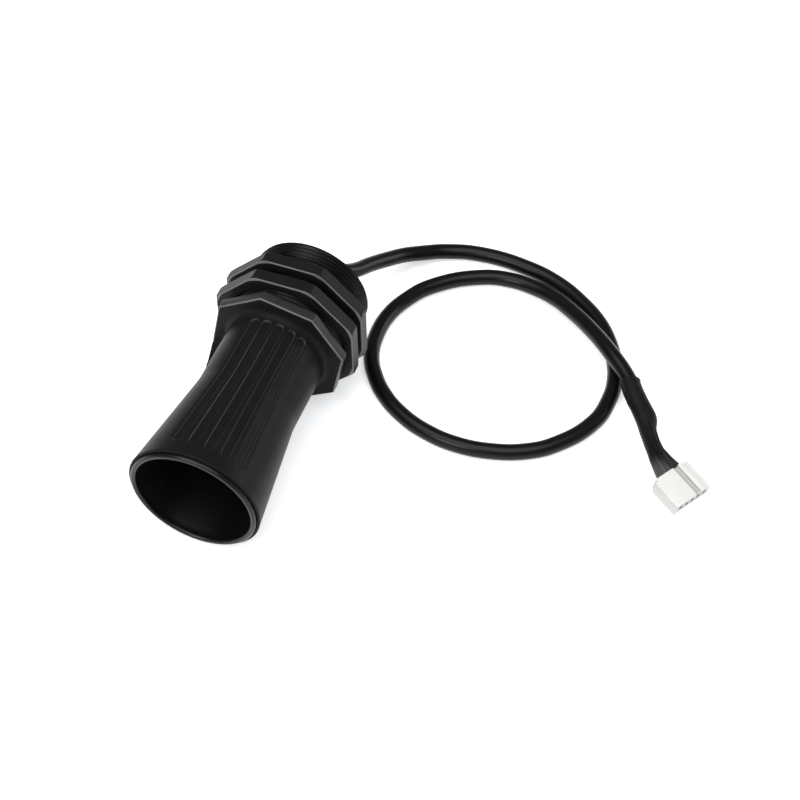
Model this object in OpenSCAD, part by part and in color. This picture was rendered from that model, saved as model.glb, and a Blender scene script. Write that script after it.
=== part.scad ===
// Horn-type ultrasonic distance sensor with a threaded barrel, two lock nuts and a cable with a plug.
// The sensor lies on a table, on the lower lip of its mouth and the lower edge of the front nut.
// Pieces of the sensor are drawn along their own axis: z runs from the mouth to the rear rim,
// x to the right and y down. along_axis() lays them on the table, with the mouth towards -Y.

/* [Horn housing] */
// Outer diameter of the horn at its mouth
mouth_d = 43.2; // [41:0.1:46]
// Outer diameter of the neck behind the taper
neck_d = 33.4; // [32:0.1:35]
// Length of the taper, from the mouth to the neck
taper_len = 38; // [34:0.5:42]
// Wall thickness of the horn and the neck
wall = 1.6; // [1.4:0.1:2]
// Distance from the mouth to the front face of the flange
flange_z = 62.6; // [61:0.1:66]
// Flange thickness
flange_t = 3.6; // [3:0.1:5]
// Flange size across its flats
flange_af = 43.2; // [41:0.1:44]
// Turn of the flange about the sensor's axis, in degrees
flange_turn = 12.4; // [0:0.1:22]
// Fillet between the neck and the flange
flange_fillet = 2; // [1:0.1:2.5]

/* [Flutes] */
// Number of flutes on the upper side, and again on the lower side
flute_count = 5; // [3:1:7]
// Angle between two flutes, in degrees
flute_pitch = 14.5; // [13:0.5:18]
// Width of a flute
flute_w = 3; // [2:0.1:3.4]
// Depth of a flute
flute_depth = 0.7; // [0.4:0.1:0.9]
// Distance from the mouth to the front end of the flutes
flute_start = 5; // [4:0.5:15]
// Distance from the rear end of the flutes to the flange
flute_gap = 2.3; // [2:0.1:6]

/* [Web] */
// Length of the web that joins the flange to the horn
web_len = 24; // [15:0.5:30]
// Thickness of the web
web_t = 2.5; // [1.5:0.1:4]
// Distance of the web's top from the sensor's axis, at the flange
web_reach = 22.9; // [20:0.1:23]

/* [Barrel] */
// Outer diameter of the thread
thread_d = 40; // [39:0.1:41]
// Length of the barrel behind the flange
barrel_len = 26.4; // [24:0.1:32]
// Distance from one turn of the thread to the next
thread_pitch = 1.5; // [1.2:0.1:2]
// Depth of the thread
thread_depth = 0.85; // [0.6:0.05:1]
// Diameter of the electronics bay inside the barrel
bay_d = 33.2; // [32:0.1:34]
// Chamfer at the rear rim
rim_chamfer = 0.5; // [0.4:0.1:1.2]

/* [Acoustic cone] */
// Height of the cone's bead in front of the mouth
bead_proud = 1.4; // [1:0.1:2.5]
// Width of the bead
bead_w = 1.8; // [1.4:0.1:2]
// Depth of the seat that takes the cone's collar
collar_depth = 2.5; // [2:0.1:4]
// Width of the mouth's lip outside the collar
lip_w = 0.85; // [0.7:0.05:1.2]
// Diameter of the cone's throat
throat_d = 16.4; // [16:0.1:18]
// Wall thickness of the cone
cone_wall = 1.1; // [0.9:0.1:1.2]

/* [Transducer] */
// Outer diameter of the transducer's can
can_d = 16; // [15:0.1:16]
// Length of the can
can_len = 11.4; // [11:0.1:13]
// Wall thickness of the can
can_wall = 0.7; // [0.5:0.1:1]
// Diameter of the piezo disc
piezo_d = 11; // [8:0.5:12]
// Thickness of the piezo disc
piezo_t = 0.4; // [0.2:0.1:1]
// Thickness of the damping pad
pad_t = 4; // [3:0.1:4.5]
// Distance from the bulkhead's front face to the mouth
bulkhead_z = 47; // [46:0.1:48]
// Thickness of the bulkhead at the throat
bulkhead_t = 3; // [2.5:0.1:3.5]
// Diameter of the pins
pin_d = 0.8; // [0.6:0.1:1]
// Distance between the two pins
pin_pitch = 6; // [4:0.5:8]

/* [Lock nuts] */
// Wall of the nuts between the thread and their flats
nut_wall = 3.7; // [3.2:0.1:4.5]
// Gap between the flange and the front nut
front_nut_gap = 3.2; // [2.8:0.1:5]
// Thickness of the front nut
nut_front_t = 4.6; // [4:0.1:5.5]
// Gap between the two nuts
nut_gap = 3.4; // [3:0.1:5]
// Thickness of the rear nut
nut_rear_t = 4.3; // [4:0.1:5.5]
// Depth of the chamfer on the nuts' corners
nut_chamfer = 0.9; // [0.5:0.1:1.2]
// Clearance between the nuts and the barrel, at the radius
nut_play = 0.06; // [0.02:0.01:0.1]

/* [Electronics] */
// Width of the circuit board
board_w = 26; // [25:0.5:27]
// Length of the circuit board
board_len = 18; // [17:0.5:18]
// Thickness of the circuit board
board_t = 1.6; // [1:0.1:2]
// Height of the board's upper face below the sensor's axis
board_drop = 3; // [3:0.1:4]
// Diameter of the cable's cores
core_d = 1.1; // [0.8:0.1:1.3]
// Distance between two cores on the board
core_pitch = 2.5; // [2:0.1:3]

/* [Cable] */
// Diameter of the cable
cable_d = 5.4; // [4.8:0.1:5.4]
// Thickness of the potting disc
potting_t = 3.5; // [3:0.1:4]
// Depth of the potting disc below the rear rim
potting_recess = 2.1; // [1:0.1:2.5]
// Length of the grommet's nose outside the potting disc
nose_len = 4.5; // [4:0.1:5]

/* [Plug] */
// Number of contacts
contact_count = 5;
// Distance between two contacts
contact_pitch = 2.5; // [2.5:0.1:2.6]
// Width of the plug
plug_w = 14.9; // [14.5:0.1:16]
// Length of the plug
plug_len = 10.2; // [9.8:0.1:11]
// Thickness of the plug
plug_t = 5.4; // [5.2:0.1:6]

/* [Hidden] */
$fn = 96;

// Clearance between pieces that are fitted to each other
fit_gap = 0.1;
// Cuts reach this far past the faces that they open
cut = 1;

// Stations along the sensor's axis
flange_rear_z = flange_z + flange_t;
rim_z = flange_rear_z + barrel_len;
neck_wall_r = neck_d / 2 - wall;
bay_z = flange_z + 2;
relief_z = bulkhead_z + bulkhead_t + 2;
pocket_z = bulkhead_z + bulkhead_t;
can_z = bulkhead_z + 0.6;
sleeve_rear_z = can_z + can_len + 1;
pocket_rear_z = sleeve_rear_z + 2;
nut_front_z = flange_rear_z + front_nut_gap;
nut_rear_z = nut_front_z + nut_front_t + nut_gap;
potting_z = rim_z - potting_recess - potting_t;
nose_z = rim_z - potting_recess + nose_len;

// The sensor tips forwards until the mouth's lip and the front nut both touch the table
nut_af = thread_d + 2 * nut_wall;
tilt = atan((nut_af - mouth_d) / 2 / nut_front_z);
axis_height = mouth_d / 2 * cos(tilt);
bead_crest_r = mouth_d / 2 - lip_w - fit_gap - bead_w / 2;
front_reach = bead_proud * cos(tilt) + bead_crest_r * sin(tilt);
rear_reach = rim_z * cos(tilt) + (thread_d / 2 - rim_chamfer) * sin(tilt);
origin_y = (rear_reach - front_reach) / 2;

// Colours of the sensor's finishes
moulded_black = [0.09, 0.09, 0.1];
nut_black = [0.12, 0.12, 0.13];

// Place of a point on the sensor's axis, at distance z from the mouth
function axis_point(z) = [0, z * cos(tilt) - origin_y, axis_height + z * sin(tilt)];
axis_heading = [0, cos(tilt), sin(tilt)];

module along_axis() {
    translate([0, -origin_y, axis_height])
        rotate([tilt, 0, 0])
            rotate([-90, 0, 0])
                children();
}

// Swept pieces

function unit(v) = v / norm(v);

// Direction of a route at point i, which is given at its two ends
function heading(route, i, first, last) =
    i == 0 ? unit(first)
    : i == len(route) - 1 ? unit(last)
    : unit(route[i + 1] - route[i - 1]);

// Ring about one point of a route, with half-width a sideways and half-height b upwards
function ring(centre, along, up, a, b, sides) =
    let (side = unit(cross(along, up)), top = cross(side, along))
    [for (k = [0 : sides - 1]) centre + a * cos(360 * k / sides) * side + b * sin(360 * k / sides) * top];

// Closed solid through one ring for each point of a route; sizes holds [half-width, half-height]
module swept(route, sizes, first, last, up, sides) {
    count = len(route);
    points = [
        for (i = [0 : count - 1])
            each ring(route[i], heading(route, i, first, last), up, sizes[i][0], sizes[i][1], sides)
    ];
    walls = [
        for (i = [0 : count - 2], k = [0 : sides - 1])
            let (a = i * sides + k, b = i * sides + (k + 1) % sides)
            [a, b, b + sides, a + sides]
    ];
    front = [for (k = [sides - 1 : -1 : 0]) k];
    rear = [for (k = [0 : sides - 1]) (count - 1) * sides + k];
    polyhedron(points, concat([front, rear], walls));
}

// Point at share t of the curve that four points control
function curve_point(p, t) =
    pow(1 - t, 3) * p[0] + 3 * t * pow(1 - t, 2) * p[1] + 3 * t * t * (1 - t) * p[2] + pow(t, 3) * p[3];

// Round wire of diameter d along the curve that four points control
module wire(p, d, up) {
    steps = 8;
    route = [for (i = [0 : steps]) curve_point(p, i / steps)];
    sizes = [for (i = [0 : steps]) [d / 2, d / 2]];
    swept(route, sizes, p[1] - p[0], p[3] - p[2], up, 8);
}

// Flat slot with round ends, centred, length l along x and width w
module stadium(l, w) {
    square([l - w, w], center = true);
    for (s = [-1, 1])
        translate([s * (l - w) / 2, 0])
            circle(d = w);
}

// Housing

// Outer radius of the horn and neck at station z
function horn_r(z) = z < taper_len ? mouth_d / 2 + (neck_d - mouth_d) / 2 * z / taper_len : neck_d / 2;

// Outline of the horn and neck, reduced by an inset, up to the flange
function horn_outline(inset) = [
    [0, -cut],
    [mouth_d / 2 - inset, -cut],
    [mouth_d / 2 - inset, 0],
    [neck_d / 2 - inset, taper_len],
    [neck_d / 2 - inset, flange_z],
    [0, flange_z]
];

// Direction of the middle of the upper flutes and of one flange flat, from the right towards the top
flute_middle = 90 - flange_turn;
web_angle = flute_middle + 112.5;

module horn_shell() {
    lip_edge = 0.3;
    rotate_extrude()
        polygon([
            [0, 0],
            [mouth_d / 2 - lip_edge, 0],
            [mouth_d / 2, lip_edge],
            [neck_d / 2, taper_len],
            [neck_d / 2, flange_z + flange_t],
            [0, flange_z + flange_t]
        ]);
}

module flange() {
    translate([0, 0, flange_z])
        rotate([0, 0, -flute_middle - 22.5])
            linear_extrude(flange_t)
                circle(d = flange_af / cos(22.5), $fn = 8);
    // Fillet in front of the flange
    fillet_steps = 6;
    rotate_extrude()
        polygon(concat(
            [[neck_d / 2 - wall / 2, flange_z + cut], [neck_d / 2 - wall / 2, flange_z - flange_fillet]],
            [
                for (i = [0 : fillet_steps])
                    let (a = 90 * i / fillet_steps)
                    [neck_d / 2 + flange_fillet * (1 - cos(a)), flange_z - flange_fillet * (1 - sin(a))]
            ],
            [[neck_d / 2 + flange_fillet, flange_z + cut]]
        ));
}

module web() {
    rotate([0, 0, -web_angle])
        rotate([90, 0, 0])
            linear_extrude(web_t, center = true)
                polygon([
                    [neck_d / 2 - wall / 2, flange_z - web_len],
                    [neck_d / 2, flange_z - web_len],
                    [web_reach, flange_z - cut],
                    [web_reach, flange_z + cut],
                    [neck_d / 2 - wall / 2, flange_z + cut]
                ]);
}

// One groove of the thread from station z: a flank, the root and the other flank
function thread_groove(z) = [
    [thread_d / 2, z],
    [thread_d / 2 - thread_depth, z + 0.4 * thread_pitch],
    [thread_d / 2 - thread_depth, z + 0.5 * thread_pitch],
    [thread_d / 2, z + 0.9 * thread_pitch]
];

// Barrel with its thread as a row of rings
module barrel() {
    thread_start = flange_rear_z + thread_pitch / 2;
    grooves = floor((rim_z - rim_chamfer - thread_start) / thread_pitch);
    rotate_extrude()
        polygon(concat(
            [[0, flange_rear_z - cut], [thread_d / 2, flange_rear_z - cut]],
            [for (i = [0 : grooves - 1]) each thread_groove(thread_start + i * thread_pitch)],
            [
                [thread_d / 2, rim_z - rim_chamfer],
                [thread_d / 2 - rim_chamfer, rim_z],
                [0, rim_z]
            ]
        ));
}

// Slots with round ends, cut to one depth below the surface of the horn
module flutes() {
    flute_len = flange_z - flute_gap - flute_start;
    intersection() {
        for (side = [0, 180], k = [0 : flute_count - 1])
            rotate([0, 0, -flute_middle - side - flute_pitch * (k - (flute_count - 1) / 2)])
                translate([neck_wall_r, 0, 0])
                    rotate([0, 90, 0])
                        linear_extrude(mouth_d / 2)
                            translate([-flute_start - flute_len / 2, 0])
                                stadium(flute_len, flute_w);
        difference() {
            rotate_extrude() polygon(horn_outline(-cut));
            rotate_extrude() polygon(horn_outline(flute_depth));
        }
    }
}

// Turned hollow: cone seat, horn, throat, transducer pocket, relief and electronics bay
module housing_hollow() {
    pocket_r = can_d / 2 + 2.6;
    pocket_wall = 1.8;
    rotate_extrude()
        polygon([
            [0, -cut],
            [mouth_d / 2 - lip_w, -cut],
            [mouth_d / 2 - lip_w, collar_depth],
            [horn_r(collar_depth) - wall, collar_depth],
            [neck_wall_r, taper_len],
            [neck_wall_r, bulkhead_z],
            [can_d / 2 + 0.7, bulkhead_z],
            [can_d / 2 + 0.7, pocket_z],
            [pocket_r, pocket_z],
            [pocket_r, pocket_rear_z],
            [pocket_r + pocket_wall, pocket_rear_z],
            [pocket_r + pocket_wall, relief_z],
            [neck_wall_r, relief_z],
            [neck_wall_r, bay_z],
            [bay_d / 2, bay_z],
            [bay_d / 2, rim_z + cut],
            [0, rim_z + cut]
        ]);
}

// Two slotted rails that hold the edges of the board
board_z = bay_z + 1.4;
rail_overlap = 1.4;
module board_rails() {
    rail_rib = 1.5;
    slot_t = board_t + 2 * fit_gap;
    rail_h = slot_t + 2 * rail_rib;
    rail_r = bay_d / 2 + wall / 2;
    intersection() {
        translate([0, 0, bay_z - wall])
            cylinder(r = rail_r, h = board_z + board_len - bay_z + wall);
        for (s = [-1, 1])
            difference() {
                translate([s * (board_w / 2 - rail_overlap + rail_r) - rail_r, board_drop - fit_gap - rail_rib, bay_z - wall])
                    cube([2 * rail_r, rail_h, rim_z]);
                translate([-board_w / 2 - fit_gap, board_drop - fit_gap, board_z])
                    cube([board_w + 2 * fit_gap, slot_t, rim_z]);
                translate([-board_w / 2 + rail_overlap, board_drop - rail_h, 0])
                    cube([board_w - 2 * rail_overlap, 2 * rail_h, rim_z]);
            }
    }
}

module housing() {
    color(moulded_black)
        along_axis() {
            difference() {
                union() {
                    horn_shell();
                    flange();
                    web();
                    barrel();
                }
                housing_hollow();
                flutes();
            }
            board_rails();
        }
}

// Acoustic cone, with a rounded bead that covers the front of the collar

module horn_cone() {
    bead_r = bead_w / 2;
    collar_r = mouth_d / 2 - lip_w - fit_gap;
    bead_z = bead_r - bead_proud;
    bead_steps = 12;
    mouth_r = collar_r - bead_w;
    // Inner radius of the cone at station z
    slope = (mouth_r - throat_d / 2) / bulkhead_z;
    color([0.13, 0.13, 0.14])
        along_axis()
            rotate_extrude()
                polygon(concat(
                    [for (i = [0 : bead_steps])
                        let (a = 180 * i / bead_steps)
                        [bead_crest_r + bead_r * cos(a), bead_z - bead_r * sin(a)]],
                    [
                        [mouth_r, 0],
                        [throat_d / 2, bulkhead_z],
                        [throat_d / 2 + cone_wall + 1.2, bulkhead_z],
                        [throat_d / 2 + cone_wall + 1.2, bulkhead_z - 1.2],
                        [throat_d / 2 + slope * 1.2 + cone_wall, bulkhead_z - 1.2],
                        [mouth_r - slope * collar_depth + cone_wall, collar_depth],
                        [collar_r, collar_depth]
                    ]
                ));
}

// Lock nuts: octagons with flats up and down, and corners cut back by a cone at both faces

module lock_nut(z, t) {
    corner_r = nut_af / 2 / cos(22.5);
    face_r = corner_r - nut_chamfer * 1.6;
    color(nut_black)
        along_axis()
            translate([0, 0, z])
                difference() {
                    intersection() {
                        rotate([0, 0, 22.5])
                            linear_extrude(t)
                                circle(r = corner_r, $fn = 8);
                        rotate_extrude()
                            polygon([
                                [0, 0],
                                [face_r, 0],
                                [corner_r + fit_gap, nut_chamfer],
                                [corner_r + fit_gap, t - nut_chamfer],
                                [face_r, t],
                                [0, t]
                            ]);
                    }
                    translate([0, 0, -cut])
                        cylinder(d = thread_d + 2 * nut_play, h = t + 2 * cut);
                }
}

module lock_nut_front() {
    lock_nut(nut_front_z, nut_front_t);
}

module lock_nut_rear() {
    lock_nut(nut_rear_z, nut_rear_t);
}

// Transducer, from the can's face at the throat to the pins

can_face_t = 0.8;
piezo_z = can_z + can_face_t;
pad_z = piezo_z + piezo_t;
filler_z = pad_z + pad_t;
filler_rear_z = can_z + can_len - 0.4;
pin_z = filler_z + 1.2;
pin_rear_z = can_z + can_len + 2.5;

module transducer_can() {
    color([0.72, 0.73, 0.75])
        along_axis()
            translate([0, 0, can_z])
                difference() {
                    cylinder(d = can_d, h = can_len);
                    translate([0, 0, can_face_t])
                        cylinder(d = can_d - 2 * can_wall, h = can_len);
                }
}

module piezo_disc() {
    color([0.85, 0.78, 0.6])
        along_axis()
            translate([0, 0, piezo_z])
                cylinder(d = piezo_d, h = piezo_t);
}

module damping_pad() {
    color([0.75, 0.74, 0.7])
        along_axis()
            translate([0, 0, pad_z])
                cylinder(d = can_d - 2 * can_wall - fit_gap, h = pad_t);
}

module can_filler() {
    color([0.9, 0.9, 0.88])
        along_axis()
            difference() {
                translate([0, 0, filler_z])
                    cylinder(d = can_d - 2 * can_wall - fit_gap, h = filler_rear_z - filler_z);
                for (s = [-1, 1])
                    translate([s * pin_pitch / 2, 0, pin_z])
                        cylinder(d = pin_d + fit_gap, h = can_len, $fn = 32);
            }
}

// Soft ring about the can, with a lip behind it
module isolation_sleeve() {
    lip_r = can_d / 2 - 1;
    color([0.2, 0.2, 0.21])
        along_axis()
            difference() {
                translate([0, 0, pocket_z])
                    cylinder(r = can_d / 2 + 2.6 - fit_gap, h = sleeve_rear_z - pocket_z);
                translate([0, 0, pocket_z - cut])
                    cylinder(r = can_d / 2 + fit_gap / 2, h = can_z + can_len - pocket_z + cut);
                cylinder(r = lip_r, h = rim_z);
            }
}

module transducer_pin(side) {
    color([0.8, 0.75, 0.55])
        along_axis()
            translate([side * pin_pitch / 2, 0, pin_z])
                cylinder(d = pin_d, h = pin_rear_z - pin_z, $fn = 32);
}

module transducer_pin_left() {
    transducer_pin(-1);
}

module transducer_pin_right() {
    transducer_pin(1);
}

// Insulated wire from the end of a pin to the front edge of the board
module transducer_lead(side) {
    pad_x = 1.5 * side * pin_pitch;
    color(side > 0 ? [0.7, 0.1, 0.08] : [0.1, 0.1, 0.1])
        along_axis()
            wire([
                [side * pin_pitch / 2, 0, pin_rear_z],
                [side * pin_pitch / 2, 0, pin_rear_z + 4],
                [pad_x, board_drop - 4, board_z + 2],
                [pad_x, board_drop, board_z + 2]
            ], core_d, [1, 0, 0]);
}

module transducer_lead_left() {
    transducer_lead(-1);
}

module transducer_lead_right() {
    transducer_lead(1);
}

// Circuit board and its components

module circuit_board() {
    hole_d = 0.9;
    color([0.05, 0.32, 0.16])
        along_axis()
            difference() {
                translate([-board_w / 2, board_drop, board_z])
                    cube([board_w, board_t, board_len]);
                for (s = [-1, 1])
                    translate([s * (board_w / 2 - 3), board_drop - cut, board_z + board_len - 2])
                        rotate([-90, 0, 0])
                            cylinder(d = hole_d, h = board_t + 2 * cut, $fn = 32);
            }
}

// Sets a component on the board's upper face, x to the right and z up from the board
module on_board(x, from_front) {
    along_axis()
        translate([x, board_drop, board_z + from_front])
            rotate([90, 0, 0])
                children();
}

// Chip with a row of legs on two sides
module chip(l, w, h, legs) {
    stand = 0.2;
    leg_w = 0.4;
    leg_reach = 0.9;
    pitch = 1.27;
    translate([-l / 2, -w / 2, stand])
        cube([l, w, h]);
    for (k = [0 : legs - 1], s = [-1, 1])
        translate([(k - (legs - 1) / 2) * pitch, s * (w + leg_reach) / 2, (stand + h / 2) / 2])
            cube([leg_w, leg_reach, stand + h / 2], center = true);
}

module step_up_transformer() {
    core_w = 7.5;
    core_l = 6.5;
    core_h = 5.5;
    limb_t = 1.6;
    color([0.2, 0.19, 0.18])
        on_board(-6, 8.5) {
            difference() {
                translate([-core_w / 2, -core_l / 2, 0])
                    cube([core_w, core_l, core_h]);
                translate([-core_w / 2 + limb_t, -core_l, limb_t])
                    cube([core_w - 2 * limb_t, 2 * core_l, core_h - 2 * limb_t]);
            }
            translate([0, 0, core_h / 2])
                rotate([90, 0, 0])
                    cylinder(d = core_h - 2 * limb_t + 0.6, h = core_l + 1.4, center = true);
        }
}

module controller_chip() {
    color([0.1, 0.1, 0.11])
        on_board(4.5, 9)
            chip(6, 5, 1.5, 4);
}

module receiver_chip() {
    color([0.1, 0.1, 0.11])
        on_board(5.2, 2.8)
            chip(4.5, 3, 1.4, 3);
}

module reservoir_capacitor() {
    base = 0.8;
    can = 5;
    color([0.75, 0.76, 0.78])
        on_board(-0.3, 2.5)
            intersection() {
                union() {
                    translate([-can / 2, -can / 2 + 1, 0])
                        cube([can, can - 1.8, base]);
                    cylinder(d = can - 1, h = can + base);
                }
                translate([0, 0, (can + base) / 2])
                    cube([can, can - 1, can + base], center = true);
            }
}

module crystal() {
    color([0.78, 0.78, 0.78])
        on_board(9.8, 9.5)
            rotate([0, 0, 90])
                union() {
                    linear_extrude(0.5) stadium(8, 3);
                    linear_extrude(3) stadium(7.4, 2.4);
                }
}

// Cable cores, from the jacket's end face to the rear edge of the board

cable_in_z = potting_z - 4;

module core_wire(i, tint) {
    ring_r = 1.5;
    angles = [162, 234, 90, 306, 18];
    x = ring_r * cos(angles[i - 1]);
    y = -ring_r * sin(angles[i - 1]);
    pad_x = (i - 3) * core_pitch;
    pad_z = board_z + board_len - 4.5;
    color(tint)
        along_axis()
            wire([
                [x, y, cable_in_z],
                [x, y, cable_in_z - 2.5],
                [pad_x, board_drop - 2.5, pad_z],
                [pad_x, board_drop, pad_z]
            ], core_d, [1, 0, 0]);
}

module core_wire_1() {
    core_wire(1, [0.6, 0.08, 0.06]);
}

module core_wire_2() {
    core_wire(2, [0.12, 0.12, 0.12]);
}

module core_wire_3() {
    core_wire(3, [0.85, 0.85, 0.83]);
}

module core_wire_4() {
    core_wire(4, [0.8, 0.65, 0.1]);
}

module core_wire_5() {
    core_wire(5, [0.1, 0.35, 0.15]);
}

// Rear closure

grommet_shank_r = cable_d / 2 + 2.4;

module potting_disc() {
    color([0.1, 0.1, 0.1])
        along_axis()
            translate([0, 0, potting_z])
                difference() {
                    cylinder(r = bay_d / 2 - fit_gap, h = potting_t);
                    translate([0, 0, -cut])
                        cylinder(r = grommet_shank_r + fit_gap, h = potting_t + 2 * cut);
                }
}

module cable_grommet() {
    flange_r = grommet_shank_r + 1.5;
    grommet_flange_t = 2.5;
    tip_r = cable_d / 2 + 0.9;
    color([0.1, 0.1, 0.1])
        along_axis()
            rotate_extrude()
                polygon([
                    [cable_d / 2 + fit_gap, potting_z - grommet_flange_t],
                    [flange_r, potting_z - grommet_flange_t],
                    [flange_r, potting_z],
                    [grommet_shank_r, potting_z],
                    [grommet_shank_r, potting_z + potting_t],
                    [tip_r, nose_z],
                    [cable_d / 2 + fit_gap, nose_z]
                ]);
}

// Cable: straight out of the grommet, down to the table, once round and over itself, to the sleeve

cable_route = concat(
    [axis_point(cable_in_z), axis_point(nose_z)],
    [
        [1.4, 55.5, 22.8], [6.9, 66, 16.3], [9.8, 74.3, 12.6], [12.9, 81.2, 9.6],
        [16.9, 88.1, 6.8], [21.8, 93.3, 4.8], [28.7, 98.5, 3.2], [40.3, 102, 2.75],
        [58.8, 101.3, 2.75], [71.3, 97.6, 2.75], [80.8, 92.1, 2.75], [89, 85.4, 2.75],
        [94.8, 78.1, 2.75], [99.5, 69.1, 2.75], [101.9, 60.8, 2.75], [102.4, 52.5, 2.75],
        [100.6, 42, 2.75], [91.3, 28, 2.75], [83.7, 22.3, 2.75], [73.4, 18.4, 2.75],
        [61.9, 17, 2.75], [50.8, 19.3, 2.75], [40.6, 22.7, 2.75], [32.5, 28.5, 2.75],
        [26.9, 34.8, 2.75], [22.4, 42.7, 2.75], [20.4, 52.2, 2.75], [20.8, 62.7, 2.75],
        [24, 72, 2.75], [29.5, 80.5, 2.75], [45.2, 91.5, 2.75], [54.9, 93.6, 2.75],
        [63.4, 92.6, 3.2], [71.7, 89.5, 4.2], [79.8, 84.1, 5.6], [88.2, 77.1, 7.3],
        [97.6, 68.1, 8.7], [106.6, 59.7, 7.45]
    ]
);

// Points between the cable's end and the plug, with the sleeve's half-width and half-height there
sleeve_start_heading = unit([8.9, -9.6, -1.6]);
sleeve_route = [[110.4, 54.4, 6.4], [113.5, 50.8, 5.6], [116.5, 46.9, 5], [118.6, 42.6, 4.6],
    [122.1, 36.9, 4.5], [124.8, 33, 4.6]];
sleeve_sizes = [[3.3, 3.2], [3.3, 3.1], [3.5, 3], [2.9, 2.7], [2.9, 2.5], [3.8, 2.3]];
sleeve_wall = 0.6;
sleeve_end_size = [5.1, 2.2];

module cable() {
    color([0.07, 0.07, 0.08])
        swept(cable_route, [for (p = cable_route) [cable_d / 2, cable_d / 2]],
            axis_heading, sleeve_start_heading, [0, 0, 1], 10);
}

module heat_shrink_sleeve() {
    start_size = [cable_d / 2 + sleeve_wall, cable_d / 2 + sleeve_wall];
    color([0.15, 0.15, 0.16])
        swept(concat([cable_route[len(cable_route) - 1]], sleeve_route, [plug_point(0, -plug_len - tail_len, plug_t / 2)]),
            concat([start_size], sleeve_sizes, [sleeve_end_size]),
            sleeve_start_heading, plug_point(0, 1, 0) - plug_point(0, 0, 0), [0, 0, 1], 16);
}

// Plug: its nose rests on the table and its rear is held up by the sleeve

plug_nose = [138.2, 22.7, 0];
plug_yaw = -31;
plug_pitch = 11;
// The plug is narrower where the wires go in
tail_len = 1.1;
tail_inset = 1;

// Place of a point of the plug: x across, y towards the mating face, z up from its underside
function plug_point(x, y, z) =
    let (run = y * cos(plug_pitch) + z * sin(plug_pitch))
    plug_nose + [
        x * sin(plug_yaw) + run * cos(plug_yaw),
        -x * cos(plug_yaw) + run * sin(plug_yaw),
        z * cos(plug_pitch) - y * sin(plug_pitch)
    ];

module at_plug() {
    translate(plug_nose)
        rotate([0, 0, plug_yaw - 90])
            rotate([-plug_pitch, 0, 0])
                children();
}

contact_w = 1.7;
contact_h = 1.9;
contact_len = 7;
cavity_w = contact_w + 2 * fit_gap;
cavity_h = contact_h + 2 * fit_gap;
cavity_floor = 1.7;
contact_setback = 0.7;

module plug_housing() {
    groove_w = 2.1;
    groove_x = -3;
    step_x = -4.6;
    groove_depth = 1.1;
    step_depth = 1.4;
    color([0.93, 0.93, 0.91])
        at_plug()
            difference() {
                union() {
                    translate([-plug_w / 2, -plug_len, 0])
                        cube([plug_w, plug_len, plug_t]);
                    translate([-plug_w / 2 + tail_inset, -plug_len - tail_len, 0])
                        cube([plug_w - 2 * tail_inset, plug_len + tail_len, plug_t]);
                }
                // Groove and lowered edge beside the rib
                translate([groove_x, -plug_len - tail_len - cut, plug_t - groove_depth])
                    cube([groove_w, plug_len + tail_len + 2 * cut, plug_t]);
                translate([-plug_w, -plug_len - tail_len - cut, plug_t - step_depth])
                    cube([plug_w + step_x, plug_len + tail_len + 2 * cut, plug_t]);
                for (k = [1 : contact_count])
                    translate([contact_x(k) - cavity_w / 2, -contact_len - contact_setback, cavity_floor])
                        cube([cavity_w, plug_len, cavity_h]);
            }
}

function contact_x(k) = (k - (contact_count + 1) / 2) * contact_pitch;

// Folded box contact, open towards the mating face
module contact(k) {
    sheet = 0.25;
    color([0.85, 0.8, 0.6])
        at_plug()
            translate([contact_x(k) - contact_w / 2, -contact_len - contact_setback, cavity_floor])
                difference() {
                    cube([contact_w, contact_len, contact_h]);
                    translate([sheet, contact_len / 3, sheet])
                        cube([contact_w - 2 * sheet, contact_len, contact_h - 2 * sheet]);
                }
}

module contact_1() {
    contact(1);
}

module contact_2() {
    contact(2);
}

module contact_3() {
    contact(3);
}

module contact_4() {
    contact(4);
}

module contact_5() {
    contact(5);
}

housing();
horn_cone();
lock_nut_front();
lock_nut_rear();
transducer_can();
piezo_disc();
damping_pad();
can_filler();
isolation_sleeve();
transducer_pin_left();
transducer_pin_right();
transducer_lead_left();
transducer_lead_right();
circuit_board();
step_up_transformer();
controller_chip();
receiver_chip();
reservoir_capacitor();
crystal();
core_wire_1();
core_wire_2();
core_wire_3();
core_wire_4();
core_wire_5();
potting_disc();
cable_grommet();
cable();
heat_shrink_sleeve();
plug_housing();
contact_1();
contact_2();
contact_3();
contact_4();
contact_5();
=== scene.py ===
import math

import bmesh
import bpy
from mathutils import Matrix, Vector, noise


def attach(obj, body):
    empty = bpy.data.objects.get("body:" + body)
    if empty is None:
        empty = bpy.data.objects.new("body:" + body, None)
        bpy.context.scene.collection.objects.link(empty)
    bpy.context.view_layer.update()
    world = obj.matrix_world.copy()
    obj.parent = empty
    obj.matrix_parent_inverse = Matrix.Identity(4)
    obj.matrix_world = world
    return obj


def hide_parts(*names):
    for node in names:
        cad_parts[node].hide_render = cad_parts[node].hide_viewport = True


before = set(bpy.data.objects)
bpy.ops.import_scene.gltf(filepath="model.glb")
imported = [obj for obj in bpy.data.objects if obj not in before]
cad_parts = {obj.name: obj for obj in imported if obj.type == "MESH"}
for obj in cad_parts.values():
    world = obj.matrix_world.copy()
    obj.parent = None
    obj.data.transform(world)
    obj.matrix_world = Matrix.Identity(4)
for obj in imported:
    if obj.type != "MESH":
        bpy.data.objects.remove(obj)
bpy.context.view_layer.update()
mm = 0.001

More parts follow.
